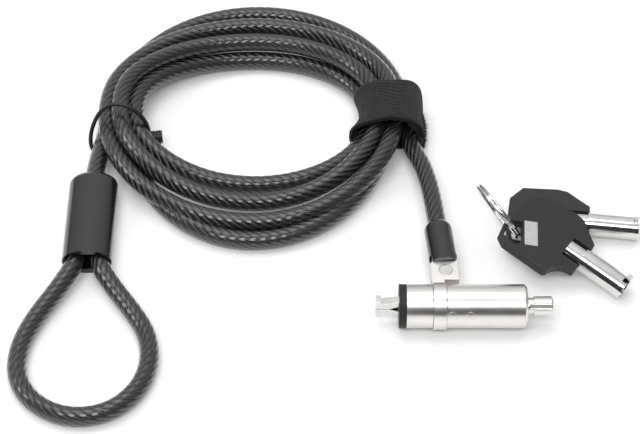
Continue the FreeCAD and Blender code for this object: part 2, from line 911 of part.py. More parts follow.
def make_core():
    start = "plunger_core_x + core_gap"
    flange = cylinder("core_flange", "core_flange_radius", "core_flange_length", (start, "0", "0"))
    post = cylinder(
        "core_post", "post_radius", "post_end_x - plunger_core_x - core_gap", (start, "0", "0")
    )
    tip = doc.addObject("Part::Chamfer", "core_post_end")
    doc.recompute()
    tip.Base = post
    tip.Edges = [
        (number, size("post_chamfer"), size("post_chamfer"))
        for number, edge in enumerate(post.Shape.Edges, start=1)
        if edge.Closed and abs(edge.CenterOfMass.x - size("post_end_x")) < 0.1
    ]
    neck_blank = cylinder("neck_blank", "post_radius + 1", "neck_length", ("neck_x", "0", "0"))
    neck_core = cylinder("neck_core", "neck_radius", "neck_length", ("neck_x", "0", "0"))
    neck = cut("neck_groove", neck_blank, neck_core)
    groove = box(
        "post_groove", "post_end_x - neck_x", "post_groove_width", "post_groove_depth + 1"
    )
    turn = Rotation(Vector(1, 0, 0), size("post_groove_turn"))
    low = size("post_radius") - size("post_groove_depth")
    corner = turn.multVec(Vector(0, -size("post_groove_width") / 2, low))
    groove.Placement = Placement(corner + Vector(size("neck_x") + 0.5, 0, 0), turn)
    holes = ring_of("key_pin_hole", PIN_COUNT, "pin_hole_radius", "20", "plunger_core_x")
    return cut("lock_core", fuse("core_whole", flange, tip), neck, groove, *holes)


def make_retainer():
    start = "plunger_core_x + core_gap + core_flange_length + 0.05"
    disc = cylinder("retainer_disc", "plunger_core_bore", "retainer_length", (start, "0", "0"))
    hole = cylinder("retainer_hole", "post_radius + 0.1", "2", ("plunger_core_x + 3", "0", "0"))
    return cut("core_retainer", disc, hole)


def make_pins():
    key_pins = ring_of(
        "key_pin", PIN_COUNT, "pin_radius", "key_pin_length", "plunger_core_x + core_gap"
    )
    drivers = ring_of("driver", PIN_COUNT, "pin_radius", "driver_length", DRIVER_START)
    springs = []
    start, length = DRIVER_SPRING_START, "driver_spring_length"
    outers = ring_of("driver_coil", PIN_COUNT, "pin_radius", length, start)
    inners = ring_of("driver_eye", PIN_COUNT, "driver_spring_bore", length, start)
    for number, (outer, inner) in enumerate(zip(outers, inners), start=1):
        springs.append(cut(f"driver_spring_{number}", outer, inner))
    return (
        group("key_pins", *key_pins),
        group("driver_pins", *drivers),
        group("driver_springs", *springs),
    )


# Keys and split ring. Each key is drawn with its open end at the origin and its bow towards -X.


def key_placement(which):
    heading = Rotation(Vector(0, 0, 1), size(which + "_heading"))
    slope = Rotation(Vector(0, 1, 0), size(which + "_slope"))
    tip = Vector(size(which + "_tip_x"), size(which + "_tip_y"), size(which + "_tip_z"))
    return Placement(tip, heading.multiply(slope))


BOW_END = -39.0
BOW_HALF_WIDTH = 11.4
RING_AXIS = (0.793, 0.45, 0.412)
RING_HOLE = [(-38.05, -4.0), (-35.1, -2.1), (-31.3, -7.6), (-32.3, -10.7), (-37.1, -9.8)]


def bow_outline():
    """A six-sided grip; one shoulder is straight and the other is hollowed by an arc."""
    half = size("key_barrel_radius") + 0.25
    notch_end = -size("key_barrel_length") - 0.05
    points = [
        (-14.5, half),
        (-14.5, 5.6),
        (-17.2, 7.6),
        (-21.4, 10.9),
        (-24.5, BOW_HALF_WIDTH),
        (-34.6, BOW_HALF_WIDTH - 0.6),
        (BOW_END + 0.6, 6.2),
        (BOW_END, -6.5),
        (-38.2, -10.2),
        (-35.4, -BOW_HALF_WIDTH - 0.6),
        (-21.4, -BOW_HALF_WIDTH - 0.6),
        (-20.6, -BOW_HALF_WIDTH),
    ]
    corners = [Vector(x, y, 0) for x, y in points]
    edges = [Part.LineSegment(a, b) for a, b in zip(corners, corners[1:])]
    shoulder = Vector(-14.5, -6.2, 0)
    edges.append(Part.Arc(corners[-1], Vector(-18.7, -7.7, 0), shoulder))
    notch = [
        shoulder,
        Vector(-14.5, -half, 0),
        Vector(notch_end, -half, 0),
        Vector(notch_end, half, 0),
        corners[0],
    ]
    edges += [Part.LineSegment(a, b) for a, b in zip(notch, notch[1:])]
    return edges


def make_key(which):
    at = key_placement(which)
    bow = doc.addObject("PartDesign::Body", f"{which}_key_bow")
    pad(bow, f"{which}_bow_pad", "XY_Plane", bow_outline(), "bow_thickness")
    pocket(bow, f"{which}_ring_hole", "XY_Plane", polygon(RING_HOLE), "bow_thickness + 2")
    tang_middle = -size("key_barrel_length") - size("key_tang_length") / 2
    tang = rectangle(tang_middle, 0, size("key_tang_length"), size("key_tang_width"))
    pocket(bow, f"{which}_tang_room", "XY_Plane", tang, "key_tang_thickness")
    bow.Placement = at
    label_half = size("bow_thickness") / 2 - size("label_depth")
    label = box(f"{which}_label_blank", "label_length", "label_width", "label_depth")
    turn = Rotation(Vector(0, 0, 1), size("label_turn"))
    corner = turn.multVec(Vector(-size("label_length") / 2, -size("label_width") / 2, 0))
    corner += Vector(size("label_x"), size("label_y"), label_half)
    label.Placement = at.multiply(Placement(corner, turn))
    bow_cut = cut(f"{which}_bow", bow, label)
    plate = box(f"{which}_label", "label_length", "label_width", "label_depth")
    plate.Placement = label.Placement
    return bow_cut, make_key_barrel(which, at), plate


def make_key_barrel(which, at):
    """A tube with a narrower root, a collar, a lug and a notch at its open end, and a flat tang."""
    tube_length = "key_barrel_length - key_root_length"
    tube = cylinder(
        f"{which}_tube", "key_barrel_radius", tube_length, (f"-({tube_length})", "0", "0")
    )
    root = cylinder(
        f"{which}_root", "key_root_radius", "key_barrel_length", ("-key_barrel_length", "0", "0")
    )
    lug = box(
        f"{which}_lug", "key_collar_length", "key_lug_width", "key_lug_height + 0.4"
    )
    turn = Rotation(Vector(1, 0, 0), size("key_lug_turn"))
    low = Vector(0, -size("key_lug_width") / 2, size("key_collar_radius") - 0.4)
    lug.Placement = Placement(turn.multVec(low) - Vector(size("key_collar_length"), 0, 0), turn)
    rim = cylinder(
        f"{which}_rim", "key_collar_radius", "key_collar_length", ("-key_collar_length", "0", "0")
    )
    tang = box(
        f"{which}_tang",
        "key_tang_length + 0.5",
        "key_tang_width",
        "key_tang_thickness",
        ("-key_barrel_length - key_tang_length", "-key_tang_width / 2", "-key_tang_thickness / 2"),
    )
    bore = cylinder(
        f"{which}_bore", "key_bore_radius", "key_bore_depth + 1", ("-key_bore_depth", "0", "0")
    )
    notch = box(
        f"{which}_notch",
        "key_notch_length + 1",
        "key_notch_width",
        "3",
        ("-key_notch_length", "-key_notch_width / 2", "1.5"),
    )
    whole = fuse(f"{which}_barrel_whole", tube, root, rim, lug, tang)
    barrel = cut(f"{which}_key_barrel", whole, bore, notch)
    barrel.Placement = at
    return barrel


def make_ring():
    """Two touching turns of round wire, drawn as one turned ring with a figure-of-eight section."""
    radius, offset = size("ring_wire_radius"), size("ring_wire_offset")
    turns = []
    for side, sign in (("upper", 1), ("lower", -1)):
        turn = doc.addObject("Part::Torus", f"ring_turn_{side}")
        bind(turn, Radius1="ring_radius", Radius2="ring_wire_radius")
        turn.Placement = Placement(Vector(0, 0, sign * offset), UPRIGHT)
        turns.append(turn)
    ring = fuse("split_ring", *turns)
    lean = Rotation(Vector(0, 0, 1), Vector(*RING_AXIS))
    ring.Placement = Placement(Vector(size("ring_x"), size("ring_y"), size("ring_z")), lean)
    return ring


def lead_point(distance):
    point = lead_frame().multVec(Vector(0, distance, 0))
    return (point.x, point.y, point.z)


strap_band, strap_pile_end = make_strap()
wire_tie, tie_head = make_tie()
coil_ring, cable_coil = make_coil(strap_band, wire_tie)
lock_lead_start = [lead_point(size("terminal_end")), lead_point(size("terminal_end") + 10)]
lock_lead_tube = cable_tube("lock_lead_tube", lock_lead_start + LOCK_LEAD_ROUTE)
coil_lead_tube = cable_tube("coil_lead_tube", COIL_LEAD_ROUTE)
cable_end_loop = cable_tube("cable_end_loop", END_LOOP_ROUTE)
cable_lock_lead = cut("cable_lock_lead", lock_lead_tube, coil_ring)
cable_coil_lead = cut("cable_coil_lead", coil_lead_tube, coil_ring)
loop_sleeve = make_sleeve(coil_lead_tube)
loop_crimp, loop_rope_ends = make_crimp()
key_pins, driver_pins, driver_springs = make_pins()
front_bow, front_barrel, front_label = make_key("front")
back_bow, back_barrel, back_label = make_key("back")

NODES = {
    "cable_coil": cable_coil,
    "cable_lock_lead": cable_lock_lead,
    "cable_coil_lead": cable_coil_lead,
    "cable_end_loop": cable_end_loop,
    "strap_band": strap_band,
    "strap_pile_end": strap_pile_end,
    "wire_tie": wire_tie,
    "tie_head": tie_head,
    "loop_sleeve": loop_sleeve,
    "loop_crimp": loop_crimp,
    "loop_rope_ends": loop_rope_ends,
    "cable_terminal": make_terminal(),
    "terminal_rope_end": make_terminal_rope(),
    "crimp_boot": make_boot(),
    "swivel_collar": make_collar(),
    "ear_rivet": make_rivet(),
    "barrel_shell": make_barrel(),
    "stake_pins": make_stakes(),
    "face_washer": make_washer(),
    "nose_block": make_nose(),
    "claw_pivot_pins": group("claw_pivot_pins", *claw_pins("claw_pin")),
    "upper_claw": make_claw("upper_claw", 1),
    "lower_claw": make_claw("lower_claw", -1),
    "spreader_pin": make_spreader(),
    "return_spring": make_spring(),
    "plunger_sleeve": make_plunger(),
    "lock_core": make_core(),
    "core_retainer": make_retainer(),
    "key_pins": key_pins,
    "driver_pins": driver_pins,
    "driver_springs": driver_springs,
    "split_ring": make_ring(),
    "front_key_bow": front_bow,
    "front_key_barrel": front_barrel,
    "front_key_label": front_label,
    "back_key_bow": back_bow,
    "back_key_barrel": back_barrel,
    "back_key_label": back_label,
}

doc.recompute()
for part in doc.Objects:
    if "Invalid" in part.State or "Error" in part.State:
        raise RuntimeError(f"{part.Label} did not recompute: {part.State}")
for node, part in NODES.items():
    if part.Shape.isNull() or not part.Shape.isValid() or not part.Shape.Solids:
        raise RuntimeError(f"{node} has no valid solid")
    part.Label = node

os.makedirs("parts", exist_ok=True)
for node, part in NODES.items():
    part.Shape.exportStep(f"parts/{node}.step")
print(len(NODES), "nodes written")
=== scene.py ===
import json
import math
import random

import bpy
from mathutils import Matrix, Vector


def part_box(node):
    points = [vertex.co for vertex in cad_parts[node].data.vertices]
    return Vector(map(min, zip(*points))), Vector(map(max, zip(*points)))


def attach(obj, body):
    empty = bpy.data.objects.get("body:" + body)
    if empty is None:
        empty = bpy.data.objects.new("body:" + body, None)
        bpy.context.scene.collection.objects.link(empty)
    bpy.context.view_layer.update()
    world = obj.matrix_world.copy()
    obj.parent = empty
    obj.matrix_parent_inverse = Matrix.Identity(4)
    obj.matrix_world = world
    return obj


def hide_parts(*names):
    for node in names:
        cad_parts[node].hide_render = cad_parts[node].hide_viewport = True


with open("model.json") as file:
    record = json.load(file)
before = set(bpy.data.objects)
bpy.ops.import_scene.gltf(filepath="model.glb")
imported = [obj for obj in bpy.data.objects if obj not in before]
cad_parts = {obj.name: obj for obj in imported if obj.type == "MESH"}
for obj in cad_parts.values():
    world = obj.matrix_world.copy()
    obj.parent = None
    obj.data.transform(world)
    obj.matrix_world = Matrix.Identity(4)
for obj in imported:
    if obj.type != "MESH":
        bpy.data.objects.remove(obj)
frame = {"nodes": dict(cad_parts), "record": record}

# Laptop cable lock on a white table. Lengths in the tables below are in millimetres in the row
# frame: +X along the lock's barrel towards its key post, +Z up, the origin at its rubber face.

MM = 0.001
TABLE_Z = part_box("cable_coil")[0][2] / MM
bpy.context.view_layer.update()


def mm(x, y, z):
    return Vector((x, y, z)) * MM


# Camera and studio


CAMERA_TARGET = mm(-22.5, 39.9, TABLE_Z)
CAMERA_ELEVATION = math.radians(48.5)
CAMERA_DISTANCE = 0.640
CAMERA_LENS = 120


def make_camera():
    camera = bpy.data.objects.new("camera", bpy.data.cameras.new("camera"))
    bpy.context.scene.collection.objects.link(camera)
    camera.data.lens = CAMERA_LENS
    camera.data.sensor_width = 36
    camera.data.dof.use_dof = False
    away = Vector((0, -math.cos(CAMERA_ELEVATION), math.sin(CAMERA_ELEVATION)))
    camera.location = CAMERA_TARGET + CAMERA_DISTANCE * away
    camera.rotation_euler = (math.pi / 2 - CAMERA_ELEVATION, 0, 0)
    bpy.context.scene.camera = camera


LIGHTS_FACE = Vector((-0.02, 0.04, 0))


def make_light(name, location, size, power):
    """A softbox of some width and height that faces the middle of the lock and its coil."""
    light = bpy.data.lights.new(name, "AREA")
    light.shape = "RECTANGLE"
    light.size, light.size_y = size
    light.energy = power
    lamp = bpy.data.objects.new(name, light)
    bpy.context.scene.collection.objects.link(lamp)
    lamp.location = location
    towards = LIGHTS_FACE - lamp.location
    lamp.rotation_euler = towards.to_track_quat("-Z", "Y").to_euler()


BRIGHT_SKY = (0.0, 0.5, 0.85)
SKY_FADES_BETWEEN = (0.2, 0.95)
SKY_STRENGTH = (0.05, 0.92)


def make_sky():
    """A world that is bright overhead and behind, and dark in front, so that metal has contrast."""
    world = bpy.data.worlds.new("studio")
    bpy.context.scene.world = world
    world.use_nodes = True
    tree = world.node_tree
    facing = tree.nodes.new("ShaderNodeVectorMath")
    facing.operation = "DOT_PRODUCT"
    facing.inputs[1].default_value = BRIGHT_SKY
    spread = tree.nodes.new("ShaderNodeMapRange")
    spread.inputs["From Min"].default_value = SKY_FADES_BETWEEN[0]
    spread.inputs["From Max"].default_value = SKY_FADES_BETWEEN[1]
    spread.inputs["To Min"].default_value = SKY_STRENGTH[0]
    spread.inputs["To Max"].default_value = SKY_STRENGTH[1]
    tree.links.new(tree.nodes.new("ShaderNodeTexCoord").outputs["Generated"], facing.inputs[0])
    tree.links.new(facing.outputs["Value"], spread.inputs["Value"])
    tree.links.new(spread.outputs["Result"], tree.nodes["Background"].inputs["Strength"])
    tree.nodes["Background"].inputs["Color"].default_value = (1, 1, 1, 1)


FLOOR_HALF = 3.0
# The floor lies just under the coil, so that the two never share a plane.
FLOOR_Z = TABLE_Z * MM - 0.00002


def make_studio():
    make_light("overhead_softbox", (-0.15, 0.30, 1.10), size=(0.70, 0.70), power=3.0)
    make_light("left_softbox", (-0.80, 0.05, 0.55), size=(0.30, 0.30), power=1.6)
    make_light("front_softbox", (-0.10, -0.50, 0.90), size=(0.80, 0.22), power=4.6)
    make_sky()
    bpy.context.scene.view_settings.view_transform = "Standard"
    corners = [(-1, -1), (1, -1), (1, 1), (-1, 1)]
    points = [(x * FLOOR_HALF, y * FLOOR_HALF, FLOOR_Z) for x, y in corners]
    floor = add_mesh("floor", points, [(0, 1, 2, 3)])
    floor.data.materials.append(paper_white())


# Node materials


class Shader:
    """A Principled material whose inputs are fed by nodes, written as short calls."""

    def __init__(self, name, **constants):
        self.material = bpy.data.materials.new(name)
        self.material.use_nodes = True
        self.tree = self.material.node_tree
        self.surface = self.tree.nodes["Principled BSDF"]
        for socket, value in constants.items():
            self.surface.inputs[socket.replace("_", " ")].default_value = value

    def node(self, kind, **settings):
        made = self.tree.nodes.new(kind)
        for name, value in settings.items():
            setattr(made, name, value)
        return made

    def link(self, output, target):
        self.tree.links.new(output, target)

    def coordinates(self, source="Object", scale=(1, 1, 1), turn=0.0):
        place = self.node("ShaderNodeMapping")
        place.inputs["Scale"].default_value = scale
        place.inputs["Rotation"].default_value = (0, 0, turn)
        self.link(self.node("ShaderNodeTexCoord").outputs[source], place.inputs["Vector"])
        return place.outputs["Vector"]

    def noise(self, scale, detail=3.0, stretch=(1, 1, 1)):
        texture = self.node("ShaderNodeTexNoise")
        texture.inputs["Scale"].default_value = scale
        texture.inputs["Detail"].default_value = detail
        self.link(self.coordinates(scale=stretch), texture.inputs["Vector"])
        return texture.outputs["Fac"]

    def scaled(self, value, low, high):
        """A 0 to 1 value spread between two others."""
        spread = self.node("ShaderNodeMapRange")
        spread.inputs["To Min"].default_value = low
        spread.inputs["To Max"].default_value = high
        self.link(value, spread.inputs["Value"])
        return spread.outputs["Result"]

    def colours(self, value, first, second):
        blend = self.node("ShaderNodeMix", data_type="RGBA")
        blend.inputs["A"].default_value = (*first, 1)
        blend.inputs["B"].default_value = (*second, 1)
        self.link(value, blend.inputs["Factor"])
        return blend.outputs["Result"]

    def group(self, tree, **values):
        made = self.node("ShaderNodeGroup")
        made.node_tree = tree
        for socket, value in values.items():
            made.inputs[socket].default_value = value
        return made

    def feed(self, socket, output):
        self.link(output, self.surface.inputs[socket])

    def bump(self, height, strength, depth=0.0001, normal=None, socket="Normal"):
        bump = self.node("ShaderNodeBump")
        bump.inputs["Strength"].default_value = strength
        bump.inputs["Distance"].default_value = depth
        self.link(height, bump.inputs["Height"])
        if normal is not None:
            self.link(normal, bump.inputs["Normal"])
        self.feed(socket, bump.outputs["Normal"])


# The cosines between the softened and the plain normal where the edge mask starts and is full.
EDGE_STARTS, EDGE_FULL = 0.995, 0.85


def edge_group():
    """A softened normal for crisp edges, and a mask of where the edges are."""
    tree = bpy.data.node_groups.new("rounded_edge_highlight", "ShaderNodeTree")
    radius = tree.interface.new_socket("Radius", in_out="INPUT", socket_type="NodeSocketFloat")
    radius.default_value = 0.0003
    tree.interface.new_socket("Mask", in_out="OUTPUT", socket_type="NodeSocketFloat")
    tree.interface.new_socket("Normal", in_out="OUTPUT", socket_type="NodeSocketVector")
    entry, leave = tree.nodes.new("NodeGroupInput"), tree.nodes.new("NodeGroupOutput")
    bevel, plain = tree.nodes.new("ShaderNodeBevel"), tree.nodes.new("ShaderNodeNewGeometry")
    bevel.samples = 4
    facing = tree.nodes.new("ShaderNodeVectorMath")
    facing.operation = "DOT_PRODUCT"
    spread = tree.nodes.new("ShaderNodeMapRange")
    spread.inputs["From Min"].default_value = EDGE_STARTS
    spread.inputs["From Max"].default_value = EDGE_FULL
    tree.links.new(entry.outputs["Radius"], bevel.inputs["Radius"])
    tree.links.new(bevel.outputs["Normal"], facing.inputs[0])
    tree.links.new(plain.outputs["Normal"], facing.inputs[1])
    tree.links.new(facing.outputs["Value"], spread.inputs["Value"])
    tree.links.new(spread.outputs["Result"], leave.inputs["Mask"])
    tree.links.new(bevel.outputs["Normal"], leave.inputs["Normal"])
    return tree


ROUNDED_EDGE_HIGHLIGHT = edge_group()
MOTTLE_DARK, MOTTLE_PALE = 0.85, 1.12
GRAIN_DEPTH = 0.00005


def finish(name, colour, edge_highlight_colour, roughness, metallic, grain, radius=0.00025, coat=0.0):
    """A solid finish: a mottled colour with a painted highlight that makes it paler at its edges,
    and a fine grain in its surface.

    grain is the noise's scale, its stretch along X, Y and Z, and the strength of its relief."""
    shader = Shader(name, Metallic=metallic, Coat_Weight=coat, Coat_Roughness=0.08)
    edges = shader.group(ROUNDED_EDGE_HIGHLIGHT, Radius=radius)
    scale, stretch, relief = grain
    texture = shader.noise(scale, 4.0, stretch)
    dark = [MOTTLE_DARK * c for c in colour]
    pale = [min(1, MOTTLE_PALE * c) for c in colour]
    mottled = shader.colours(texture, dark, pale)
    # Painted highlight: along the edge mask the colour turns to the paler edge colour.
    blend = shader.node("ShaderNodeMix", data_type="RGBA")
    shader.link(edges.outputs["Mask"], blend.inputs["Factor"])
    shader.link(mottled, blend.inputs["A"])
    blend.inputs["B"].default_value = (*edge_highlight_colour, 1)
    shader.feed("Base Color", blend.outputs["Result"])
    shader.feed("Roughness", shader.scaled(texture, roughness[0], roughness[1]))
    shader.bump(texture, relief, GRAIN_DEPTH, edges.outputs["Normal"])
    return shader.material


def paper_white():
    shader = Shader("white_table", Emission_Strength=0.10)
    shader.surface.inputs["Emission Color"].default_value = (1, 1, 1, 1)
    shader.surface.inputs["Specular IOR Level"].default_value = 0.1
    texture = shader.noise(40.0)
    shader.feed("Base Color", shader.colours(texture, (0.93, 0.93, 0.93), (0.96, 0.96, 0.96)))
    shader.feed("Roughness", shader.scaled(texture, 0.75, 0.9))
    return shader.material


STRANDS = 11
# Metres along the cable for one turn of a strand; its sign sets which way the strands twist.
LAY_LENGTH = -0.031
# The groove colour is painted shade between the strands; the strands keep their own dark grey.
GROOVE_SHADE_BLACK, STRAND_GREY = (0.001, 0.001, 0.001), (0.016, 0.016, 0.017)


def cable_vinyl():
    """Clear-black vinyl over twisted strands, with painted shade in the grooves between them: U is
    metres along the cable, V turns round it.
    """
    shader = Shader(
        "cable_vinyl", Roughness=0.3, Coat_Weight=1.0, Coat_Roughness=0.16, Coat_IOR=1.5
    )
    split = shader.node("ShaderNodeSeparateXYZ")
    shader.link(shader.node("ShaderNodeTexCoord").outputs["UV"], split.inputs["Vector"])
    along = shader.node("ShaderNodeMath", operation="DIVIDE")
    shader.link(split.outputs["X"], along.inputs[0])
    along.inputs[1].default_value = LAY_LENGTH
    twisted = shader.node("ShaderNodeMath", operation="ADD")
    shader.link(along.outputs["Value"], twisted.inputs[0])
    shader.link(split.outputs["Y"], twisted.inputs[1])
    counted = shader.node("ShaderNodeMath", operation="MULTIPLY")
    shader.link(twisted.outputs["Value"], counted.inputs[0])
    counted.inputs[1].default_value = STRANDS * math.pi
    wave = shader.node("ShaderNodeMath", operation="SINE")
    shader.link(counted.outputs["Value"], wave.inputs[0])
    ridge = shader.node("ShaderNodeMath", operation="ABSOLUTE")
    shader.link(wave.outputs["Value"], ridge.inputs[0])
    # Painted shade: the colour goes near black in the grooves and stays grey on the strands.
    colour = shader.colours(ridge.outputs["Value"], GROOVE_SHADE_BLACK, STRAND_GREY)
    shader.feed("Base Color", colour)
    shader.feed("Roughness", shader.scaled(ridge.outputs["Value"], 0.6, 0.25))
    shader.bump(ridge.outputs["Value"], 1.0, 0.0005)
    shader.bump(ridge.outputs["Value"], 0.15, 0.0003, socket="Coat Normal")
    return shader.material


def woven(name, colour, thread_scale, relief):
    """Crossed threads, with painted shade where they dip and a painted highlight on their tops: U
    and V are metres along and across the cloth.
    """
    shader = Shader(name, Sheen_Weight=0.12, Sheen_Roughness=0.5)
    shader.surface.inputs["Specular IOR Level"].default_value = 0.25
    split = shader.node("ShaderNodeSeparateXYZ")
    shader.link(shader.coordinates("UV", turn=math.radians(45)), split.inputs["Vector"])
    waves = []
    for axis in ("X", "Y"):
        turned = shader.node("ShaderNodeMath", operation="MULTIPLY")
        shader.link(split.outputs[axis], turned.inputs[0])
        turned.inputs[1].default_value = thread_scale
        wave = shader.node("ShaderNodeMath", operation="SINE")
        shader.link(turned.outputs["Value"], wave.inputs[0])
        waves.append(wave.outputs["Value"])
    crossed = shader.node("ShaderNodeMath", operation="MULTIPLY_ADD")
    shader.link(waves[0], crossed.inputs[0])
    shader.link(waves[1], crossed.inputs[1])
    crossed.inputs[2].default_value = 0.5
    lint = shader.noise(900.0)
    mixed = shader.node("ShaderNodeMath", operation="MULTIPLY")
    shader.link(crossed.outputs["Value"], mixed.inputs[0])
    shader.link(shader.scaled(lint, 0.5, 1.4), mixed.inputs[1])
    height = mixed.outputs["Value"]
    # Painted shade and highlight: the colour darkens where the threads dip and brightens on their
    # tops.
    dip_shade = [0.4 * c for c in colour]
    top_highlight = [2.0 * c for c in colour]
    shader.feed("Base Color", shader.colours(height, dip_shade, top_highlight))
    shader.feed("Roughness", shader.scaled(height, 0.95, 0.7))
    shader.bump(height, relief, 0.0003)
    return shader.material


EVEN = (1, 1, 1)
# In each finish the second colour is its painted edge highlight.
MATERIALS = {
    "cable_vinyl": cable_vinyl(),
    "strap_fabric": woven("strap_fabric", (0.009, 0.009, 0.010), 7000.0, 0.8),
    "strap_pile": woven("strap_pile", (0.018, 0.018, 0.02), 4000.0, 1.0),
    "rope_steel": finish(
        "rope_steel", (0.4, 0.4, 0.41), (0.6, 0.6, 0.6), (0.3, 0.5), 1.0, (900, (1, 0.1, 1), 0.5)
    ),
    "tie_plastic": finish(
        "tie_plastic", (0.014, 0.014, 0.015), (0.04, 0.04, 0.04), (0.35, 0.5), 0.0, (700, EVEN, 0.3)
    ),
    "moulded_black": finish(
        "moulded_black",
        (0.010, 0.010, 0.011),
        (0.03, 0.03, 0.03),
        (0.16, 0.26),
        0.0,
        (160, EVEN, 0.12),
        coat=0.5,
    ),
    "satin_nickel": finish(
        "satin_nickel",
        (0.78, 0.765, 0.74),
        (0.88, 0.87, 0.85),
        (0.24, 0.36),
        1.0,
        (420, (0.25, 1, 1), 0.18),
    ),
    "polished_nickel": finish(
        "polished_nickel",
        (0.74, 0.735, 0.72),
        (0.92, 0.92, 0.90),
        (0.07, 0.16),
        1.0,
        (260, EVEN, 0.05),
        radius=0.00015,
    ),
    "washer_rubber": finish(
        "washer_rubber",
        (0.014, 0.014, 0.014),
        (0.04, 0.04, 0.04),
        (0.55, 0.75),
        0.0,
        (600, EVEN, 0.3),
    ),
    "hard_steel": finish(
        "hard_steel", (0.42, 0.42, 0.43), (0.6, 0.6, 0.6), (0.3, 0.45), 1.0, (500, (0.3, 1, 1), 0.2)
    ),
    "brass_pins": finish(
        "brass_pins", (0.62, 0.46, 0.2), (0.8, 0.65, 0.35), (0.25, 0.4), 1.0, (500, EVEN, 0.2)
    ),
    "bow_plastic": finish(
        "bow_plastic",
        (0.016, 0.016, 0.017),
        (0.06, 0.06, 0.06),
        (0.42, 0.6),
        0.0,
        (1500, EVEN, 0.35),
        radius=0.0004,
    ),
    "label_silver": finish(
        "label_silver", (0.62, 0.62, 0.61), (0.8, 0.8, 0.8), (0.2, 0.6), 1.0, (1300, EVEN, 1.0)
    ),
}


# Mesh helpers


def add_mesh(name, points, faces, uvs=None, smooth=False):
    """A mesh object; uvs holds one pair for each point."""
    mesh = bpy.data.meshes.new(name)
    mesh.from_pydata([tuple(p) for p in points], [], faces)
    if uvs is not None:
        layer = mesh.uv_layers.new(name="UVMap")
        for loop in mesh.loops:
            layer.data[loop.index].uv = uvs[loop.vertex_index]
    if smooth:
        mesh.polygons.foreach_set("use_smooth", [True] * len(mesh.polygons))
    mesh.update()
    made = bpy.data.objects.new(name, mesh)
    bpy.context.scene.collection.objects.link(made)
    return made


def paint(made, slot, body):
    """Give a piece its finish and let it ride on a body."""
    made.data.materials.append(MATERIALS[slot])
    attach(made, body)


def frames_along(points):
    """For each point a pair of directions square to the path, carried along without twist."""
    pairs = []
    side = None
    for i, point in enumerate(points):
        before, after = points[max(i - 1, 0)], points[min(i + 1, len(points) - 1)]
        ahead = (after - before).normalized()
        if side is None:
            side = ahead.orthogonal()
        side = (side - ahead * side.dot(ahead)).normalized()
        pairs.append((side.copy(), ahead.cross(side)))
    return pairs


def tube(name, points, radius, sides):
    """A round tube along points, closed at both ends; radius may be a function of 0 to 1.

    U is the length in metres and V the turn, and the seam is doubled."""
    rings, uvs, faces = [], [], []
    travelled = 0.0
    for i, (point, (side, up)) in enumerate(zip(points, frames_along(points))):
        if i:
            travelled += (point - points[i - 1]).length
        size = radius(i / (len(points) - 1)) if callable(radius) else radius
        for k in range(sides + 1):
            angle = 2 * math.pi * k / sides
            rings.append(point + (side * math.cos(angle) + up * math.sin(angle)) * size)
            uvs.append((travelled, k / sides))
    step = sides + 1
    for i in range(len(points) - 1):
        for k in range(sides):
            a = i * step + k
            faces.append((a, a + step, a + step + 1, a + 1))
    last = (len(points) - 1) * step
    faces.append(tuple(range(sides)))
    faces.append(tuple(reversed(range(last, last + sides))))
    return add_mesh(name, rings, faces, uvs, smooth=True)


def nurbs_points(name, points, resolution=8):
    """The points along an open NURBS spline through the route, read back from the spline."""
    curve = bpy.data.curves.new(name, "CURVE")
    curve.dimensions = "3D"
    spline = curve.splines.new("NURBS")
    spline.points.add(len(points) - 1)
    for target, point in zip(spline.points, points):
        target.co = (*point, 1)
    spline.order_u = 3
    spline.use_endpoint_u = True
    spline.resolution_u = resolution
    route = bpy.data.objects.new(name, curve)
    bpy.context.scene.collection.objects.link(route)
    bpy.context.view_layer.update()
    evaluated = route.evaluated_get(bpy.context.evaluated_depsgraph_get())
    shape = bpy.data.meshes.new_from_object(evaluated)
    line = [vertex.co.copy() for vertex in shape.vertices]
    bpy.data.meshes.remove(shape)
    bpy.data.objects.remove(route)
    bpy.data.curves.remove(curve)
    return line


def evenly(points, step):
    """The same path with its points a set distance apart."""
    lengths = [0.0]
    for a, b in zip(points, points[1:]):
        lengths.append(lengths[-1] + (b - a).length)
    count = max(2, round(lengths[-1] / step))
    result, i = [], 0
    for n in range(count + 1):
        wanted = lengths[-1] * n / count
        while i < len(points) - 2 and lengths[i + 1] < wanted:
            i += 1
        share = (wanted - lengths[i]) / max(lengths[i + 1] - lengths[i], 1e-12)
        result.append(points[i].lerp(points[i + 1], min(share, 1.0)))
    return result


# The cable: lock, coil, sleeve and end loop are one length

CABLE_RADIUS = 2.75
CABLE_POINT_STEP = 0.0012
COIL_MIDDLE = (-42.6, 77.0)
# Where a turn lies in each tied bundle: its X distance from the coil's middle, and its height
# above the table. The strap holds three turns under two, and the tie holds the pile more loosely.
STRAP_PLACES = {
    "low_outer": (46.8, 4.2),
    "low_middle": (41.5, 4.2),
    "low_inner": (36.2, 4.2),
    "high_inner": (38.8, 8.9),
    "high_outer": (44.2, 8.9),
}
TIE_PLACES = {
    "low_outer": (45.2, 4.1),
    "low_middle": (39.6, 4.1),
    "low_inner": (38.0, 8.5),
    "high_inner": (42.4, 11.3),
    "high_outer": (46.6, 8.4),
}
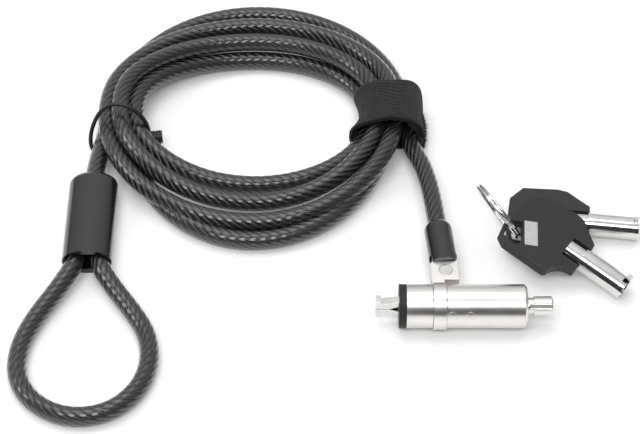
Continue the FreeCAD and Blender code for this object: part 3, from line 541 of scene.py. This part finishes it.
# Each turn's place, and its furthest Y and its height on the far side and then on the near side.
TURNS = [
    ("low_middle", (116.0, 2.9), (27.5, 2.9)),
    ("low_inner", (104.3, 2.9), (49.8, 2.9)),
    ("high_inner", (107.3, 8.2), (41.2, 4.4)),
    ("high_outer", (114.4, 8.3), (33.0, 4.6)),
    ("low_outer", (125.0, 3.5), None),
]
LOCK_LEAD = [
    (12.3, 28.9, 0.0),
    (11.3, 38.8, 0.0),
    (10.2, 47.8, -0.5),
    (8.4, 56.4, -1.3),
    (5.6, 64.0, -2.2),
    (4.2, 71.0, -2.6),
    (2.2, 79.0, -2.6),
]
SLEEVE_LEAD = [
    (-88.7, 66.0, -2.2),
    (-90.2, 57.0, -1.75),
    (-90.6, 48.0, -1.75),
    (-93.4, 39.5, -1.75),
    (-93.4, 33.0, -1.75),
]
END_LOOP = [
    (-93.4, 27.0, -1.75),
    (-93.4, 18.2, -1.75),
    (-98.0, 9.0, -2.7),
    (-104.2, -1.6, -3.6),
    (-107.8, -11.6, -4.0),
    (-107.8, -22.4, -4.0),
    (-102.0, -31.8, -4.0),
    (-91.6, -36.6, -4.0),
    (-80.4, -34.6, -4.0),
    (-72.8, -26.6, -4.0),
    (-70.2, -16.6, -4.0),
    (-71.6, -7.0, -4.0),
    (-76.4, 1.2, -3.6),
    (-82.6, 9.6, -2.7),
    (-87.6, 18.2, -1.75),
    (-87.6, 27.0, -1.75),
]
HALF_TURN_STEPS = 9
FIRST_ANGLE = 13.0


def half_turn(place, peak, start):
    """Points along half a turn, from one tied bundle to the other; start is in degrees."""
    peak_y, peak_z = peak
    half_y = abs(peak_y - COIL_MIDDLE[1])
    points = []
    for step in range(HALF_TURN_STEPS):
        sweep = FIRST_ANGLE + (180 - 2 * FIRST_ANGLE) * step / (HALF_TURN_STEPS - 1)
        angle = math.radians(start + sweep)
        places = STRAP_PLACES if math.cos(angle) > 0 else TIE_PLACES
        half_x, bundle_z = places[place]
        height = bundle_z + (peak_z - bundle_z) * math.sin(angle) ** 2
        x = COIL_MIDDLE[0] + half_x * math.cos(angle)
        y = COIL_MIDDLE[1] + half_y * math.sin(angle)
        points.append((x, y, TABLE_Z + height))
    return points


def cable_route():
    route = list(LOCK_LEAD)
    for place, far_peak, near_peak in TURNS:
        route += half_turn(place, far_peak, 0)
        if near_peak:
            route += half_turn(place, near_peak, 180)
    route += SLEEVE_LEAD + END_LOOP
    return [mm(*point) for point in route]


def make_cable():
    line = evenly(nurbs_points("cable_route", cable_route()), CABLE_POINT_STEP)
    cable = tube("security_cable", line, CABLE_RADIUS * MM, sides=32)
    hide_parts("cable_coil", "cable_lock_lead", "cable_coil_lead", "cable_end_loop")
    paint(cable, "cable_vinyl", "cable")


# Strap, tie and split ring


STRAP_MIDDLE_Y = 76.0
STRAP_WIDTH = 17.0
STRAP_THICKNESS = 1.0
STRAP_POINT_STEP = 0.0008
STRAP_COLUMNS = 16
TAIL_ROWS, TAIL_NARROWING = 3, 0.75
RIPPLE = 0.25
# The strap's mid-surface seen along Y, from its outer tail round the bundle to its inner end.
STRAP_SECTION = [
    (9.2, 1.0),
    (9.1, 6.0),
    (8.0, 10.6),
    (4.8, 13.2),
    (-1.0, 13.6),
    (-6.2, 12.6),
    (-9.6, 9.2),
    (-10.2, 5.0),
    (-9.0, 1.8),
    (-5.0, 0.8),
    (3.6, 0.8),
    (6.9, 2.2),
    (7.8, 5.6),
    (6.9, 9.4),
    (4.6, 11.6),
]


FLARE_FROM_X, FLARE_REACH = -5, 4
NEAR_FLARE, FAR_FLARE = -3.4, -1.6


def flare(x, y):
    """The inner wall stands clear of the turns that fan out to either side of the strap."""
    if x > FLARE_FROM_X:
        return 0.0
    away = (y - STRAP_MIDDLE_Y) / (STRAP_WIDTH / 2)
    most = NEAR_FLARE if away < 0 else FAR_FLARE
    return most * away**2 * min(1.0, (FLARE_FROM_X - x) / FLARE_REACH)


def make_strap():
    outline = nurbs_points("strap_section", [mm(x, 0, z) for x, z in STRAP_SECTION], 6)
    section = evenly(outline, STRAP_POINT_STEP)
    points, uvs, faces = [], [], []
    along = 0.0
    for i, point in enumerate(section):
        if i:
            along += (point - section[i - 1]).length
        narrow = TAIL_NARROWING if i < TAIL_ROWS else 0.0
        for k in range(STRAP_COLUMNS + 1):
            across = k / STRAP_COLUMNS - 0.5
            ripple = RIPPLE * math.sin(along / MM * 0.5 + 4 * across)
            y = STRAP_MIDDLE_Y + across * (STRAP_WIDTH - narrow) + ripple
            x = point.x / MM + flare(point.x / MM, y)
            points.append(mm(x, y, TABLE_Z + point.z / MM))
            uvs.append((along, across * STRAP_WIDTH * MM))
    step = STRAP_COLUMNS + 1
    for i in range(len(section) - 1):
        for k in range(STRAP_COLUMNS):
            a = i * step + k
            faces.append((a, a + 1, a + step + 1, a + step))
    strap = add_mesh("hook_and_loop_strap", points, faces, uvs, smooth=True)
    thick = strap.modifiers.new("thickness", "SOLIDIFY")
    thick.thickness = STRAP_THICKNESS * MM
    thick.offset = 0
    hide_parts("strap_band")
    paint(strap, "strap_fabric", "cable")


FIBRE_CLEARANCE = 0.1


def fibres(name, roots, length, thickness, seed):
    """Fine bent fibres, each from a root along its direction, as one mesh of three-sided hairs.

    No fibre comes closer to the table than its clearance."""
    rng = random.Random(seed)
    points, faces = [], []
    for root, outward in roots:
        lean = Vector([rng.gauss(0, 0.5) for _ in range(3)])
        ahead = (outward + lean).normalized()
        side = ahead.orthogonal().normalized()
        up = ahead.cross(side)
        reach = length * rng.uniform(0.4, 1.0)
        droop = Vector([rng.gauss(0, 0.3) for _ in range(3)])
        start = len(points)
        for level in range(3):
            share = level / 2
            middle = root + (ahead * share + droop * share**2) * reach
            for k in range(3):
                angle = 2 * math.pi * k / 3
                size = thickness * (1 - 0.7 * share)
                point = middle + (side * math.cos(angle) + up * math.sin(angle)) * size
                point.z = max(point.z, (TABLE_Z + FIBRE_CLEARANCE) * MM)
                points.append(point)
        for level in range(2):
            for k in range(3):
                a = start + 3 * level + k
                b = start + 3 * level + (k + 1) % 3
                faces.append((a, b, b + 3, a + 3))
    return add_mesh(name, points, faces)


PILE_HALF_THICKNESS = 0.9
PILE_COUNT = 1400
FIBRE_LENGTH, FIBRE_THICKNESS = 1.1, 0.045


def make_pile():
    """The strap's pile end: a thick soft flap that hangs from under the tail, with loose fibres."""
    low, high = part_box("strap_pile_end")
    middle_x = (low[0] + high[0]) / 2
    columns, rows = 12, 14
    points, faces = [], []
    rng = random.Random(4)
    for side in (-1, 1):
        for i in range(rows + 1):
            for k in range(columns + 1):
                u, v = i / rows, k / columns
                edge = min(1.0, 5 * min(u, 1 - u, v, 1 - v) + 0.25)
                x = middle_x + side * edge * PILE_HALF_THICKNESS * MM
                x += rng.uniform(-1, 1) * 0.1 * MM
                x -= 1.2 * MM * (1 - u) ** 2
                y = low[1] + (high[1] - low[1]) * u
                hang = 0.5 + 0.5 * u
                z = low[2] + 0.3 * MM + (high[2] - low[2]) * hang * v * 0.9
                points.append((x, y, z))
    step = columns + 1
    sheet = (rows + 1) * step
    for i in range(rows):
        for k in range(columns):
            a = i * step + k
            faces.append((a, a + step, a + step + 1, a + 1))
            faces.append((sheet + a, sheet + a + 1, sheet + a + step + 1, sheet + a + step))
    rim = list(range(columns)) + [i * step + columns for i in range(rows)]
    rim += [rows * step + columns - k for k in range(columns)]
    rim += [(rows - i) * step for i in range(rows)]
    for a, b in zip(rim, rim[1:] + rim[:1]):
        faces.append((a, b, sheet + b, sheet + a))
    pile = add_mesh("pile_flap", points, faces, [(y, z) for x, y, z in points], smooth=True)
    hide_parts("strap_pile_end")
    paint(pile, "strap_pile", "cable")
    roots = []
    for _ in range(PILE_COUNT):
        x, y, z = points[rng.randrange(len(points))]
        out = Vector((1 if x > middle_x else -1, rng.uniform(-1.2, 0.3), rng.uniform(-0.4, 0.4)))
        jitter = Vector((0, rng.uniform(-0.4, 0.4), rng.uniform(-0.4, 0.4))) * MM
        roots.append((Vector((x, y, z)) + jitter, out.normalized()))
    fluff = fibres("pile_fibres", roots, FIBRE_LENGTH * MM, FIBRE_THICKNESS * MM, 5)
    paint(fluff, "strap_pile", "cable")


# The tie's loop from its head over the bundle and back underneath: X, Y and height above the table.
TIE_LOOP = [
    (-74.9, 68.3, 4.6),
    (-74.8, 68.8, 8.0),
    (-76.6, 69.6, 12.6),
    (-80.4, 70.6, 16.0),
    (-84.9, 71.2, 16.9),
    (-89.0, 70.6, 14.8),
    (-91.8, 69.2, 10.0),
    (-93.0, 67.0, 5.6),
    (-92.4, 65.2, 2.0),
    (-88.6, 65.2, 0.7),
    (-82.0, 66.6, 0.7),
    (-76.0, 67.8, 1.2),
    (-74.6, 68.2, 3.6),
]
TIE_HEAD = [(-74.9, 68.0, 4.8), (-70.9, 68.4, 5.0)]
TIE_RADIUS = 0.65
HEAD_RADIUS, HEAD_RIB = 1.95, 0.18


def head_radius(share):
    """The tie head's radius along its length, with a row of square ribs."""
    return (HEAD_RADIUS + HEAD_RIB * (math.sin(32 * share) > 0)) * MM


def make_tie():
    points = [mm(x, y, TABLE_Z + z) for x, y, z in TIE_LOOP]
    line = evenly(nurbs_points("tie_route", points), 0.0005)
    loop = tube("cable_tie", line, TIE_RADIUS * MM, sides=12)
    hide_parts("wire_tie")
    paint(loop, "tie_plastic", "cable")
    line = evenly([mm(x, y, TABLE_Z + z) for x, y, z in TIE_HEAD], 0.00012)
    head = tube("tie_head_block", line, head_radius, sides=8)
    head.data.polygons.foreach_set("use_smooth", [False] * len(head.data.polygons))
    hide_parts("tie_head")
    paint(head, "tie_plastic", "cable")


RING_CENTRE = (30.0, 33.0, 3.44)
RING_RADIUS, RING_WIRE_RADIUS, RING_TURN_SPACING = 9.5, 0.48, 0.92
RING_AXIS = Vector((0.793, 0.45, 0.412)).normalized()


def make_split_ring():
    """Two turns of wire side by side; the wire steps across at the ring's gap."""
    side = RING_AXIS.orthogonal().normalized()
    up = RING_AXIS.cross(side)
    steps = 360
    line = []
    for i in range(steps + 1):
        turn = 2 * i / steps
        shift = max(0.0, min(1.0, (turn - 0.9) / 0.2))
        level = -0.5 + shift * shift * (3 - 2 * shift)
        angle = 2 * math.pi * (turn + 0.30)
        around = side * math.cos(angle) + up * math.sin(angle)
        offset = around * RING_RADIUS + RING_AXIS * level * RING_TURN_SPACING
        line.append(mm(*RING_CENTRE) + offset * MM)
    ring = tube("key_split_ring", line, RING_WIRE_RADIUS * MM, sides=14)
    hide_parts("split_ring")
    paint(ring, "polished_nickel", "key_ring")


make_camera()
make_cable()
make_strap()
make_pile()
make_tie()
make_split_ring()
make_studio()

SLOT_OF = {part["node"]: part["material_slot"] for part in frame["record"]["subparts"]}
for node, shown in frame["nodes"].items():
    shown.data.materials.clear()
    shown.data.materials.append(MATERIALS[SLOT_OF[node]])
